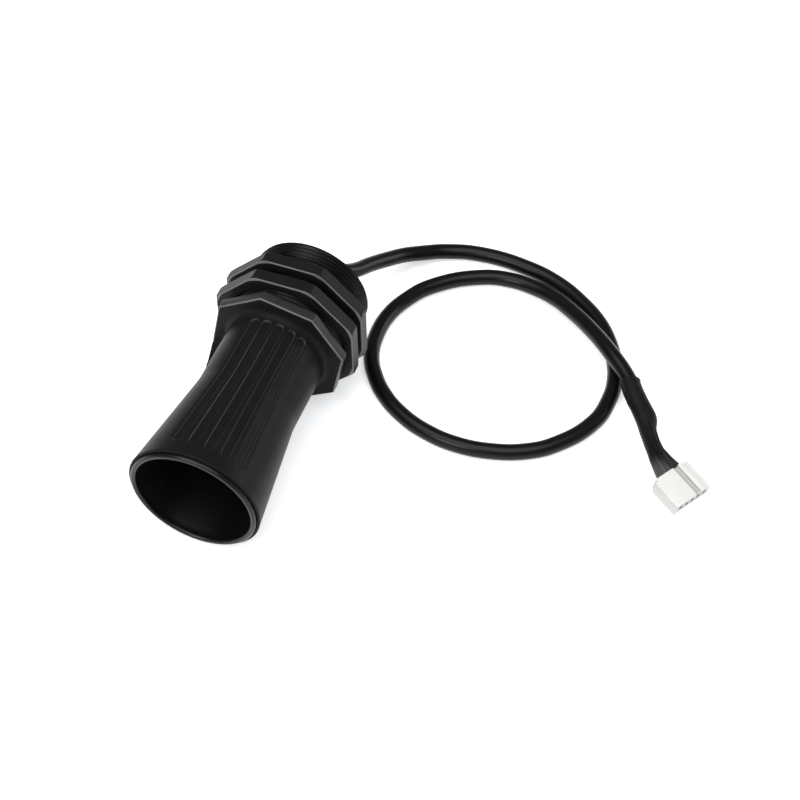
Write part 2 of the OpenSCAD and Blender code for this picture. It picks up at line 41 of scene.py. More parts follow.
# Lay of the sensor's axis: the mouth's lip and the front nut touch the table
lay = {
    "mouthRadius": 21.6,
    "nutFlat": 23.7,          # half the nuts' size across flats
    "nutFrontZ": 69.4,
    "rimZ": 92.6,
    "rimRadius": 19.5,
    "beadProud": 1.4,
    "beadCrest": 19.75,
}
tilt = math.atan((lay["nutFlat"] - lay["mouthRadius"]) / lay["nutFrontZ"])
axisHeight = lay["mouthRadius"] * math.cos(tilt)
frontReach = lay["beadProud"] * math.cos(tilt) + lay["beadCrest"] * math.sin(tilt)
rearReach = lay["rimZ"] * math.cos(tilt) + lay["rimRadius"] * math.sin(tilt)
originY = (rearReach - frontReach) / 2

# From the sensor's own millimetres (x right, y down, z from the mouth) to the table's metres
axisToTable = (
    Matrix.Scale(mm, 4)
    @ Matrix.Translation((0, -originY, axisHeight))
    @ Matrix.Rotation(tilt, 4, "X")
    @ Matrix.Rotation(-math.pi / 2, 4, "X")
)


def axisPoint(z):
    return axisToTable @ Vector((0, 0, z))


# Camera and light

camera = {
    "place": (0.1734, -0.326, 0.4433),
    "target": (0.04392, 0.01316, 0.02142),
    "lens": 79.48,
    "sensor": 36.0,
    "clip": (0.01, 20),
}


def makeCamera():
    data = bpy.data.cameras.new("camera")
    data.lens = camera["lens"]
    data.sensor_width = camera["sensor"]
    data.clip_start, data.clip_end = camera["clip"]
    obj = bpy.data.objects.new("camera", data)
    obj.location = camera["place"]
    look = Vector(camera["target"]) - Vector(camera["place"])
    obj.rotation_euler = look.to_track_quat("-Z", "Y").to_euler()
    bpy.context.collection.objects.link(obj)
    bpy.context.scene.camera = obj


studio = {
    "worldStrength": 0.27,
    "panels": [
        # name, place, size, power in watts
        ("ceilingPanel", (0.0, -0.25, 1.3), (1.7, 1.2), 20.0),
        ("cameraPanel", (-0.32, -1.0, 0.86), (0.5, 0.25), 6.0),
        ("frontPanel", (-0.2, -1.3, 0.25), (1.2, 0.4), 1.5),
        ("rightPanel", (0.95, 0.75, 0.3), (0.7, 0.5), 4.0),
    ],
    "aim": (0.04, 0.02, 0.02),
}


def makeStudio():
    world = bpy.data.worlds.new("studio")
    bpy.context.scene.world = world
    world.use_nodes = True
    background = world.node_tree.nodes["Background"]
    background.inputs["Color"].default_value = (1, 1, 1, 1)
    background.inputs["Strength"].default_value = studio["worldStrength"]
    for name, place, size, power in studio["panels"]:
        data = bpy.data.lights.new(name, "AREA")
        data.shape = "RECTANGLE"
        data.size, data.size_y = size
        data.energy = power
        obj = bpy.data.objects.new(name, data)
        obj.location = place
        look = Vector(studio["aim"]) - Vector(place)
        obj.rotation_euler = look.to_track_quat("-Z", "Y").to_euler()
        bpy.context.collection.objects.link(obj)
    bpy.context.scene.view_settings.view_transform = "Standard"
    bpy.context.scene.view_settings.look = "None"


# Materials

# From an sRGB colour code to Blender's linear colour, by the curve of the sRGB standard
def linear(hexColour):
    value = hexColour.lstrip("#")
    channels = [int(value[i:i + 2], 16) / 255 for i in (0, 2, 4)]
    curve = [c / 12.92 if c <= 0.04045 else ((c + 0.055) / 1.055) ** 2.4 for c in channels]
    return (*curve, 1.0)


# settings sets sockets or properties by name; links maps an input to (node, output)
def addNode(material, kind, settings=None, links=None):
    tree = material.node_tree
    node = tree.nodes.new(kind)
    for key, value in (settings or {}).items():
        if key in node.inputs:
            node.inputs[key].default_value = value
        else:
            setattr(node, key, value)
    for key, (source, output) in (links or {}).items():
        tree.links.new(source.outputs[output], node.inputs[key])
    return node


def newMaterial(name):
    material = bpy.data.materials.new(name)
    material.use_nodes = True
    material.node_tree.nodes.clear()
    return material


def finishMaterial(material, shader):
    output = material.node_tree.nodes.new("ShaderNodeOutputMaterial")
    material.node_tree.links.new(shader.outputs[0], output.inputs["Surface"])
    return material


# Noise on the object's own place; its grains are about sizeMm wide
def noiseOn(material, place, sizeMm, detail, roughness):
    settings = {"Scale": 1 / (sizeMm * mm), "Detail": detail, "Roughness": roughness}
    return addNode(material, "ShaderNodeTexNoise", settings, {"Vector": place}), "Fac"


# The look's two tones, mixed by a texture; sockets 6, 7 and 2 are the mix node's colours and its result
def twoTones(material, look, texture):
    tone = addNode(material, "ShaderNodeMix", {"data_type": "RGBA"}, {"Factor": texture})
    tone.inputs[6].default_value = linear(look["dark"])
    tone.inputs[7].default_value = linear(look["light"])
    return tone, 2


def unevenGloss(material, look, texture):
    limits = {"To Min": look["rough"] - look["roughSpread"], "To Max": look["rough"] + look["roughSpread"]}
    return addNode(material, "ShaderNodeMapRange", limits, {"Value": texture}), "Result"


def bumpFrom(material, look, texture):
    settings = {"Strength": look["bump"], "Distance": look["bumpMm"] * mm}
    return addNode(material, "ShaderNodeBump", settings, {"Height": texture}), "Normal"


# Colour follows one texture, with the gloss where the look spreads it, and the bump follows another
def finishLook(material, look, settings, tone, bump):
    links = {"Base Color": twoTones(material, look, tone), "Normal": bumpFrom(material, look, bump)}
    if "roughSpread" in look:
        links["Roughness"] = unevenGloss(material, look, tone)
    else:
        settings["Roughness"] = look["rough"]
    return finishMaterial(material, addNode(material, "ShaderNodeBsdfPrincipled", settings, links))


# What the moulded plastics share, unless a look says otherwise
plasticBase = {"roughSpread": 0.05, "ior": 1.53, "bump": 0.3, "bumpMm": 0.02}


# Moulded plastic: an even satin skin with a fine spark-eroded grain and faint flow tone
def mouldedPlastic(name, ownLook):
    look = {**plasticBase, **ownLook}
    material = newMaterial(name)
    place = addNode(material, "ShaderNodeTexCoord"), "Object"
    grain = noiseOn(material, place, look["grainMm"], 3.0, 0.6)
    flow = noiseOn(material, place, look["flowMm"], 2.0, 0.5)
    settings = {"IOR": look["ior"], "Specular IOR Level": look["shine"]}
    return finishLook(material, look, settings, flow, grain)


# Drawn or plated sheet metal: fine lines along the drawing direction, and a gloss that varies with them
def drawnMetal(name, look):
    material = newMaterial(name)
    place = addNode(material, "ShaderNodeTexCoord"), "Object"
    drawn = addNode(material, "ShaderNodeMapping", {"Scale": look["stretch"]}, {"Vector": place}), "Vector"
    lines = noiseOn(material, drawn, look["lineMm"], 3.0, 0.6)
    return finishLook(material, look, {"Metallic": 1.0}, lines, lines)


# Solder mask over glass cloth: green varnish in which the cloth's weave shows as a check
def wovenLaminate(name, look):
    material = newMaterial(name)
    place = addNode(material, "ShaderNodeTexCoord"), "Object"
    wave = {"wave_type": "BANDS", "wave_profile": "SIN", "Scale": look["weaveScale"], "Distortion": 0.3}
    threads = {}
    for socket, axis in enumerate("XY"):
        thread = addNode(material, "ShaderNodeTexWave", dict(wave, bands_direction=axis), {"Vector": place})
        threads[socket] = thread, "Fac"
    weave = addNode(material, "ShaderNodeMath", {"operation": "MULTIPLY"}, threads), "Value"
    return finishLook(material, look, {"IOR": look["ior"]}, weave, weave)


# Open-cell foam: a network of pores
def openFoam(name, look):
    material = newMaterial(name)
    place = addNode(material, "ShaderNodeTexCoord"), "Object"
    settings = {"feature": "F1", "Scale": 1 / (look["poreMm"] * mm)}
    pores = addNode(material, "ShaderNodeTexVoronoi", settings, {"Vector": place}), "Distance"
    return finishLook(material, look, {"IOR": look["ior"]}, pores, pores)


# Black ABS, moulded in a spark-eroded tool: dull satin that stays near black except along grazing sides
housingLook = {
    "dark": "#121213", "light": "#19191b", "shine": 0.05, "rough": 0.4, "roughSpread": 0.03,
    "grainMm": 0.35, "flowMm": 9.0, "bump": 0.25,
}
# Glass-filled nylon of the nuts: a shade greyer and duller than the housing
nutLook = {
    "dark": "#131314", "light": "#1b1b1c", "shine": 0.07, "rough": 0.38, "roughSpread": 0.03,
    "grainMm": 0.4, "flowMm": 7.0,
}
# Front edges of nuts and flange: painted highlight, a greyer skin that shows as a bright line along them
edgeHighlightLook = {
    "dark": "#505051", "light": "#636364", "shine": 0.3, "rough": 0.4, "grainMm": 0.3, "flowMm": 4.0,
}
# Rims of the flutes and sides of the flange: painted highlight, a skin greyed a little so they show as
# light lines
rimHighlightLook = {
    "dark": "#232324", "light": "#303031", "shine": 0.12, "rough": 0.34, "grainMm": 0.3, "flowMm": 3.0,
}
# Thread of the barrel: painted shade, deeper black than the horn
threadShadeLook = {
    "dark": "#08080a", "light": "#0d0d0f", "shine": 0.12, "rough": 0.36, "roughSpread": 0.04,
    "grainMm": 0.3, "flowMm": 4.0,
}
# Smooth ABS of the cone: polished tool, so a softer gloss than the housing
coneLook = {
    "dark": "#080809", "light": "#0c0c0d", "shine": 0.25, "rough": 0.28, "roughSpread": 0.03,
    "grainMm": 0.5, "flowMm": 10.0, "bump": 0.15,
}
# Soft PVC jacket of the cable: extruded, smooth and slightly waxy
jacketLook = {
    "dark": "#07070a", "light": "#0b0b0d", "shine": 0.17, "rough": 0.3, "roughSpread": 0.03,
    "grainMm": 0.8, "flowMm": 14.0, "bump": 0.15, "bumpMm": 0.03,
}
# Polyolefin shrink tube: matt charcoal, paler where the wires stretch it, with a painted sheen on one side
shrinkLook = {
    "dark": "#0c0c0e", "light": "#151515", "shine": 0.12, "rough": 0.5, "ior": 1.49,
    "stretchAndSheenTone": "#4c4c4a", "grainMm": 0.6, "flowMm": 5.0, "bump": 0.2, "bumpMm": 0.03,
}
# The sleeve's cut end, in its own shadow
cutLook = {
    "dark": "#050506", "light": "#080809", "shine": 0.02, "rough": 0.7, "ior": 1.49, "grainMm": 0.6,
    "flowMm": 5.0, "bump": 0.2, "bumpMm": 0.03,
}
# Natural nylon of the plug: milky white on top; its sides, front and groove take a greyer copy as painted
# shade
plugLook = {
    "dark": "#d4d3d1", "light": "#dddcda", "shine": 0.5, "rough": 0.3, "roughSpread": 0.03,
    "grainMm": 0.5, "flowMm": 4.0, "bump": 0.08,
}
plugShadeLook = {
    "dark": "#adadaa", "light": "#bbbbb8", "shine": 0.5, "rough": 0.3, "roughSpread": 0.03,
    "grainMm": 0.5, "flowMm": 4.0, "bump": 0.08,
}
# Epoxy of the potting: poured, so it is glossy with slow ripples
resinLook = {
    "dark": "#0f0f10", "light": "#161617", "shine": 0.5, "rough": 0.22, "ior": 1.55, "grainMm": 2.5,
    "flowMm": 12.0, "bump": 0.12, "bumpMm": 0.06,
}
# Moulded rubber of grommet and isolation sleeve: dull and finely pitted
rubberLook = {
    "dark": "#101011", "light": "#181819", "shine": 0.3, "rough": 0.55, "roughSpread": 0.04,
    "ior": 1.52, "grainMm": 0.5, "flowMm": 6.0, "bump": 0.2, "bumpMm": 0.03,
}
# Addition-cured silicone that closes the can: milky, soft gloss
siliconeLook = {
    "dark": "#c9c8c3", "light": "#dcdbd7", "shine": 0.35, "rough": 0.35, "ior": 1.41, "grainMm": 1.2,
    "flowMm": 5.0, "bump": 0.1, "bumpMm": 0.05,
}
# Fired piezo ceramic with a burnt-on silver electrode: pale, dull and finely granular
ceramicLook = {
    "dark": "#a9a69b", "light": "#c4c1b6", "shine": 0.5, "rough": 0.5, "roughSpread": 0.06, "ior": 2.0,
    "grainMm": 0.15, "flowMm": 2.0, "bump": 0.2, "bumpMm": 0.01,
}
# Transfer-moulded epoxy of the chips: sandy matt black
epoxyLook = {
    "dark": "#141415", "light": "#1d1d1e", "shine": 0.4, "rough": 0.6, "ior": 1.55, "grainMm": 0.2,
    "flowMm": 3.0, "bump": 0.35, "bumpMm": 0.01,
}
# Sintered ferrite of the transformer: dark grey stone with a fine sparkle
ferriteLook = {
    "dark": "#242322", "light": "#3a3836", "shine": 0.6, "rough": 0.5, "roughSpread": 0.08, "ior": 2.2,
    "grainMm": 0.18, "flowMm": 1.5, "bump": 0.4, "bumpMm": 0.01,
}
# Thin PVC insulation of wires and leads, one dye for each core: smooth and a little waxy
insulation = {
    "Red": ("#8e1510", "#a41c15"), "Black": ("#0f0f10", "#171718"), "White": ("#cfcfca", "#dededa"),
    "Yellow": ("#b08f14", "#c7a41c"), "Green": ("#14502a", "#1a6335"),
}
insulationLook = {
    "shine": 0.4, "rough": 0.35, "roughSpread": 0.04, "grainMm": 0.4, "flowMm": 3.0, "bump": 0.1,
    "bumpMm": 0.01,
}
# Deep-drawn aluminium of cup and capacitor: bright, with fine lines along the draw
aluminiumLook = {
    "dark": "#b9bbbd", "light": "#d2d4d6", "rough": 0.3, "roughSpread": 0.06, "lineMm": 0.25,
    "stretch": (1.0, 0.06, 1.0), "bump": 0.2, "bumpMm": 0.01,
}
# Nickel-plated steel of the crystal's can: a harder, greyer shine
nickelLook = {
    "dark": "#9d9a94", "light": "#b7b4ae", "rough": 0.22, "roughSpread": 0.05, "lineMm": 0.3,
    "stretch": (0.08, 1.0, 1.0), "bump": 0.2, "bumpMm": 0.01,
}
# Tinned bronze of pins and contacts: pale gold-grey, rolled sheet
bronzeLook = {
    "dark": "#b09b6c", "light": "#cbb98c", "rough": 0.28, "roughSpread": 0.05, "lineMm": 0.2,
    "stretch": (0.1, 1.0, 1.0), "bump": 0.2, "bumpMm": 0.01,
}
# Glass-epoxy board under green solder mask
boardLook = {
    "dark": "#0b3a20", "light": "#12512f", "rough": 0.35, "ior": 1.52, "weaveScale": 100.0,
    "bump": 0.15, "bumpMm": 0.02,
}
# Damping foam
foamLook = {
    "dark": "#6f6a5e", "light": "#b4ad9d", "poreMm": 0.5, "rough": 0.85, "ior": 1.5, "bump": 0.8,
    "bumpMm": 0.15,
}


# Meshes

weldDistance = 2e-7
flatDistance = 1e-7
quarterTurn = [math.pi / 2 * i / 4 for i in range(5)]


# One skin from rows of points; closed joins the last row to the first, and edge rows take the second finish
def meshFromGrid(name, rows, matrix, sharpDegrees=35, closed=True, edgeRows=()):
    bm = bmesh.new()
    count = len(rows[0])
    grid = []
    for row in rows:
        grid.append([bm.verts.new(matrix @ Vector(point)) for point in row])
    for i in range(len(grid) - 1):
        for j in range(count):
            k = (j + 1) % count
            face = bm.faces.new((grid[i][j], grid[i][k], grid[i + 1][k], grid[i + 1][j]))
            face.material_index = 1 if i in edgeRows else 0
    if closed:
        for j in range(count):
            k = (j + 1) % count
            bm.faces.new((grid[-1][j], grid[-1][k], grid[0][k], grid[0][j]))
    return finishMesh(name, bm, sharpDegrees)


def newObject(name, bm):
    mesh = bpy.data.meshes.new(name)
    bm.to_mesh(mesh)
    bm.free()
    obj = bpy.data.objects.new(name, mesh)
    bpy.context.collection.objects.link(obj)
    return obj


def finishMesh(name, bm, sharpDegrees=35):
    bmesh.ops.remove_doubles(bm, verts=bm.verts, dist=weldDistance)
    bmesh.ops.dissolve_degenerate(bm, edges=bm.edges, dist=flatDistance)
    bmesh.ops.recalc_face_normals(bm, faces=bm.faces)
    for face in bm.faces:
        face.smooth = True
    limit = math.radians(sharpDegrees)
    for edge in bm.edges:
        if len(edge.link_faces) == 2:
            edge.smooth = edge.calc_face_angle(0) < limit
    return newObject(name, bm)


def ringPoint(angle, radius, z):
    return (radius * math.cos(angle), -radius * math.sin(angle), z)


def smoothStep(edge0, edge1, x):
    t = min(max((x - edge0) / (edge1 - edge0), 0), 1)
    return t * t * (3 - 2 * t)


def softMin(a, b, sharpness):
    low = min(a, b)
    return low - math.log(math.exp(-sharpness * (a - low)) + math.exp(-sharpness * (b - low))) / sharpness


# Distance to an octagon's edge in one direction; the higher the sharpness, the less its corners are rounded
def octagonRadius(angle, flat, flatAngle, sharpness):
    total = 0.0
    for k in range(8):
        facing = math.cos(angle - flatAngle - k * math.pi / 4)
        if facing > 0.5:
            total += facing ** sharpness
    return flat / total ** (1 / sharpness)


# How far a rounded edge steps back at a distance from its face
def edgeRound(distance, radius):
    if distance >= radius:
        return 0.0
    return radius - math.sqrt(max(radius * radius - (radius - distance) ** 2, 0))


def wholeTurn(degrees):
    return round(degrees % 360, 2)


def span(start, end, step):
    count = max(1, round(abs(end - start) / step))
    return [start + (end - start) * i / count for i in range(count + 1)]


# Housing: one moulding with flutes, flange, web and thread

housing = {
    "lipInner": 20.75, "lipEdge": 0.3, "lipStart": 0.15, "lipFlare": 0.12, "collarDepth": 2.5,
    "neck": 16.7, "taper": 38.0, "wall": 1.6, "neckBlend": 9, "neckLift": 0.6,
    "flangeZ": 62.6, "flangeT": 3.6, "flangeFlat": 21.6, "flangeTurn": 12.4, "flangeEdge": 0.4,
    "flangeSharpness": 260, "fillet": 2.0,
    "fluteCount": 5, "flutePitch": 14.5, "fluteWidth": 3.0, "fluteDepth": 0.5, "fluteStart": 5.0,
    "fluteGap": 2.3, "fluteRim": (0.2, -0.35),
    # degrees to each side of a flute's middle line that it can reach, and that its columns follow in full
    "fluteReach": 9, "fluteHold": 6.0,
    "webLength": 24.0, "webThick": 2.5, "webReach": 22.9, "webFoot": 3.4, "webFlare": 2.4, "webBack": 1.1,
    # webSweep is in degrees; within webNear of the flange's face the web stays webInset inside its outline
    "webSweep": 26, "webInset": 0.6, "webNear": 4, "leastFoot": 0.05,
    "thread": 20.0, "threadPitch": 1.5, "threadDepth": 0.85, "threadFoot": 0.5, "runIn": 0.6, "runOut": 3.4,
    "bay": 16.6, "bayEdge": 0.25, "bulkheadZ": 47.0, "pocketZ": 50.0, "reliefZ": 52.0, "pocketRearZ": 62.0,
    "bayZ": 64.6, "throatHole": 8.7, "pocket": 10.6, "pocketWall": 1.8,
}
# Columns of the skin, in degrees: an even spread, closer at flutes, web and the flange's corners
columnGrid = {
    "even": 4, "least": 0.04,
    "clearOfFlute": 1.0, "floorShare": 0.4,
    "nearFlute": (-1.6, -1.1, -0.75, -0.5, -0.3, -0.1, 0.1, 0.3, 0.5),
    "clearOfWeb": 6,
    "nearWeb": (-2.6, -1.4, -0.8, -0.45, -0.2, -0.03, 0.03, 0.5, 1.0, 1.6, 2.3, 3.2, 4.4, 6.0),
    "cornerStep": 0.45, "cornerSteps": 4,
}
# Rows of the horn in millimetres, by start, end and step: closer at the flutes' ends, neck and fillet
hornSpans = [(1.0, 4.0, 1.5), (4.8, 6.6, 0.15), (8.5, 33, 2.4), (34, 42, 0.8), (44, 56, 2.4),
             (58.2, 60.5, 0.14), (60.85, 62.52, 0.25)]
# One pitch of the thread, from crest to root and back: share of the pitch, and share of the depth there
threadStops = [(0.0, 0.0), (0.08, 0.0), (0.16, 0.12), (0.40, 0.88), (0.48, 1.0), (0.58, 1.0), (0.66, 0.88),
               (0.92, 0.08)]
# Where a finish starts: radius inside the thread, shares of a flute's depth at its rim, and four margins
finishLimits = {
    "threadInner": 18, "rim": (0.1, 0.75), "rear": 0.01, "hornInner": 1, "side": 0.2, "front": 0.1,
}
fluteMiddle = 90 - housing["flangeTurn"]
webAngle = fluteMiddle + 112.5


def fluteAngles():
    middle = (housing["fluteCount"] - 1) / 2
    return [fluteMiddle + side + housing["flutePitch"] * (k - middle)
            for side in (0, 180) for k in range(housing["fluteCount"])]


# Signed difference of two angles in degrees
def degreesFrom(degrees, middle):
    return (degrees - middle + 180) % 360 - 180


def turnFrom(angle, middle):
    return degreesFrom(math.degrees(angle), middle)


# Columns keep their distance from a flute's middle line while the horn widens, to follow its edges
def columnAngle(angle, radius):
    scale = housing["neck"] / radius
    for middle in fluteAngles():
        turn = turnFrom(angle, middle)
        if abs(turn) < housing["flutePitch"] / 2:
            share = smoothStep(housing["fluteHold"], housing["flutePitch"] / 2, abs(turn))
            return angle + math.radians(turn * (scale - 1) * (1 - share))
    return angle


def housingColumns():
    fluteHalf = math.degrees(housing["fluteWidth"] / 2 / housing["neck"])
    webHalf = math.degrees(math.asin(housing["webThick"] / 2 / housing["neck"]))
    even = columnGrid["even"]
    angles = {round(a, 2) for a in span(0, 360 - even, even)}
    for middle in fluteAngles():
        clear = fluteHalf + columnGrid["clearOfFlute"]
        angles = {a for a in angles if abs(degreesFrom(a, middle)) > clear}
        angles.add(wholeTurn(middle))
        for s in (-1, 1):
            angles |= {wholeTurn(middle + s * (fluteHalf + step)) for step in columnGrid["nearFlute"]}
            angles.add(wholeTurn(middle + s * fluteHalf * columnGrid["floorShare"]))
    angles = {a for a in angles if abs(degreesFrom(a, webAngle)) > webHalf + columnGrid["clearOfWeb"]}
    angles.add(wholeTurn(webAngle))
    for s in (-1, 1):
        angles |= {wholeTurn(webAngle + s * (webHalf + step)) for step in columnGrid["nearWeb"]}
    steps = columnGrid["cornerSteps"]
    for k in range(8):
        corner = fluteMiddle + 22.5 + 45 * k
        angles |= {wholeTurn(corner + columnGrid["cornerStep"] * i) for i in range(-steps, steps + 1)}
    ordered = sorted(angles)
    kept = [ordered[0]]
    for a in ordered[1:]:
        if a - kept[-1] > columnGrid["least"]:
            kept.append(a)
    return [math.radians(a) for a in kept]


# The horn tapers to the neck, with a soft change between the two
def hornRadius(z):
    slope = (housing["neck"] - lay["mouthRadius"]) / housing["taper"]
    cone = lay["mouthRadius"] + slope * z
    high = max(cone, housing["neck"])
    low = min(cone, housing["neck"])
    blend = housing["neckBlend"]
    return high + math.log(1 + math.exp(-(high - low) * blend)) / blend * housing["neckLift"]


# Extra radius of the fillet before the flange
def filletRadius(z):
    rise = z - (housing["flangeZ"] - housing["fillet"])
    if rise <= 0:
        return 0.0
    rise = min(rise, housing["fillet"])
    return housing["fillet"] - math.sqrt(housing["fillet"] ** 2 - rise ** 2)


def fluteDip(angle, z, radius):
    start = housing["fluteStart"] + housing["fluteWidth"] / 2
    end = housing["flangeZ"] - housing["fluteGap"] - housing["fluteWidth"] / 2
    dip = 0.0
    for middle in fluteAngles():
        turn = turnFrom(angle, middle)
        if abs(turn) > housing["fluteReach"]:
            continue
        across = radius * math.radians(turn)
        along = max(start - z, 0, z - end)
        outside = math.hypot(across, along) - housing["fluteWidth"] / 2
        dip = max(dip, housing["fluteDepth"] * smoothStep(*housing["fluteRim"], outside))
    return dip


# The web rises from the neck to the flange, with a rounded top and fillets at its foot and at the flange
def webRadius(angle, z):
    turn = abs(turnFrom(angle, webAngle))
    start = housing["flangeZ"] - housing["webLength"]
    if turn > housing["webSweep"] or z < start:
        return 0.0
    neck = housing["neck"]
    rise = (housing["webReach"] - neck) * (z - start) / housing["webLength"]
    half = housing["webThick"] / 2 + edgeRound(housing["flangeZ"] - z, housing["webFlare"])
    foot = min(housing["webFoot"], rise)
    across = neck * math.sin(math.radians(turn))
    top = neck + rise
    if abs(z - housing["flangeZ"]) < housing["webNear"]:
        top = min(top, flangeRadius(angle) - housing["webInset"])
    if across < half:
        return top - edgeRound((half - across) * (1 + rise / neck), min(housing["webBack"], rise))
    if foot > housing["leastFoot"]:
        return min(neck + edgeRound(across - half, foot), top)
    return 0.0


def flangeRadius(angle):
    return octagonRadius(angle, housing["flangeFlat"], math.radians(fluteMiddle),
                         housing["flangeSharpness"])


# Finish of one face of the skin: 0 skin, 1 edge with painted highlight, 2 flute rim or side of the flange
# with painted highlight, 3 thread with painted shade
def housingFinish(corners, onEdge):
    if onEdge:
        return 1
    x, y, z = sum((Vector(c) for c in corners), Vector()) / len(corners)
    radius = math.hypot(x, y)
    rear = housing["flangeZ"] + housing["flangeT"] - finishLimits["rear"]
    if radius > finishLimits["threadInner"] and z > rear:
        return 3
    if z < housing["flangeZ"] - housing["fillet"] and radius > housing["neck"] - finishLimits["hornInner"]:
        dip = fluteDip(math.atan2(-y, x), z, hornRadius(z)) / housing["fluteDepth"]
        shallow, deep = finishLimits["rim"]
        return 2 if shallow < dip < deep else 0
    onSide = radius > housing["flangeFlat"] - finishLimits["side"]
    return 2 if onSide and z > housing["flangeZ"] + finishLimits["front"] else 0


def makeHousing():
    columns = housingColumns()
    rows = []

    def addRow(radiusOf, z, bodyR=housing["neck"]):
        turned = [columnAngle(a, bodyR) for a in columns]
        rows.append([ringPoint(a, radiusOf(a) if callable(radiusOf) else radiusOf, z) for a in turned])

    lipEdge = housing["lipEdge"]
    mouth = lay["mouthRadius"]
    # Mouth's lip, with rounded edges
    addRow(housing["lipInner"], housing["collarDepth"], mouth)
    addRow(housing["lipInner"], housing["lipStart"], mouth)
    addRow(housing["lipInner"] + housing["lipFlare"], 0.0, mouth)
    for turn in quarterTurn:
        addRow(mouth - lipEdge + lipEdge * math.sin(turn), lipEdge * (1 - math.cos(turn)), mouth)
    # Horn and neck up to the flange
    front = housing["flangeZ"]
    stations = [z for start, end, step in hornSpans for z in span(start, end, step)]

    def bodyRadius(a, z):
        base = hornRadius(z)
        dip = fluteDip(a, z, base)
        return max(base - dip + filletRadius(z), webRadius(a, z))

    for z in stations:
        addRow(lambda a, z=z: bodyRadius(a, z), z, hornRadius(z))
    # Flange
    edge = housing["flangeEdge"]
    rear = front + housing["flangeT"]
    foot = housing["neck"] + housing["fillet"]
    addRow(lambda a: max(foot, webRadius(a, front)), front)
    for share in (0.4, 0.8):
        addRow(lambda a, s=share: (1 - s) * max(foot, webRadius(a, front))
               + s * max(flangeRadius(a) - edge, webRadius(a, front)), front)
    # Rows of the flange's front edge take the painted highlight
    edgeRows = range(len(rows), len(rows) + len(quarterTurn) - 1)
    for turn in quarterTurn:
        z = front + edge * (1 - math.cos(turn))
        addRow(lambda a, t=turn: flangeRadius(a) - edge * (1 - math.sin(t)), z)
    for turn in quarterTurn:
        z = rear - edge * (1 - math.sin(turn))
        addRow(lambda a, t=turn: flangeRadius(a) - edge * (1 - math.cos(t)), z)
    addRow(housing["thread"] + housing["threadFoot"], rear)
    addRow(housing["thread"], rear)
    # Thread: each row climbs one pitch in a turn, and is held between the flange and the rim
    perTurn = len(threadStops)
    end = lay["rimZ"]
    pitch = housing["threadPitch"]
    turns = math.ceil((end - rear) / pitch) + 1

    def threadPoint(a, index):
        turn, stop = divmod(index, perTurn)
        part, share = threadStops[stop]
        z = rear + pitch * (turn + part - a / (2 * math.pi))
        if z <= rear:
            return housing["thread"], rear
        if z >= end:
            return lay["rimRadius"], end
        depth = housing["threadDepth"] * share
        depth *= smoothStep(rear - housing["runIn"], rear + housing["runOut"], z)
        chamfer = lay["rimRadius"] + end - z
        return min(housing["thread"] - depth, chamfer), z

    threadStart = len(rows)
    for index in range(turns * perTurn + 1):
        rows.append([ringPoint(a, *threadPoint(a, index)) for a in columns])
    threadEnd = len(rows)
    # Rim, bay, pocket, throat and the cone's seat
    wide = housing["neck"] - housing["wall"]
    collar = housing["pocket"] + housing["pocketWall"]
    for radius, z in (
        (lay["rimRadius"], end), (housing["bay"] + housing["bayEdge"], end),
        (housing["bay"], end - housing["bayEdge"]), (housing["bay"], housing["bayZ"]),
        (wide, housing["bayZ"]), (wide, housing["reliefZ"]),
        (collar, housing["reliefZ"]), (collar, housing["pocketRearZ"]),
        (housing["pocket"], housing["pocketRearZ"]), (housing["pocket"], housing["pocketZ"]),
        (housing["throatHole"], housing["pocketZ"]), (housing["throatHole"], housing["bulkheadZ"]),
        (wide, housing["bulkheadZ"]), (wide, housing["taper"]),
        (hornRadius(housing["collarDepth"]) - housing["wall"], housing["collarDepth"]),
    ):
        addRow(radius, z)
    # Skin: past the last column the thread's rows are one turn ahead of the first column's
    bm = bmesh.new()
    grid = [[bm.verts.new(axisToTable @ Vector(point)) for point in row] for row in rows]
    count = len(columns)
    for i in range(len(grid)):
        below = (i + 1) % len(grid)
        inThread = threadStart <= i < threadEnd - 1
        for j in range(count):
            k = (j + 1) % count
            seam = k == 0 and inThread
            upper = max(i - perTurn, threadStart) if seam else i
            lower = max(i + 1 - perTurn, threadStart) if seam else below
            corners = [grid[i][j], grid[upper][k], grid[lower][k], grid[below][j]]
            if upper == lower:
                corners.remove(grid[lower][k])
            face = bm.faces.new(corners)
            around = [rows[i][j], rows[upper][k], rows[lower][k], rows[below][j]]
            face.material_index = housingFinish(around, i in edgeRows)
    return finishMesh("hornHousing", bm, 40)


print("camera and studio")
makeCamera()
makeStudio()

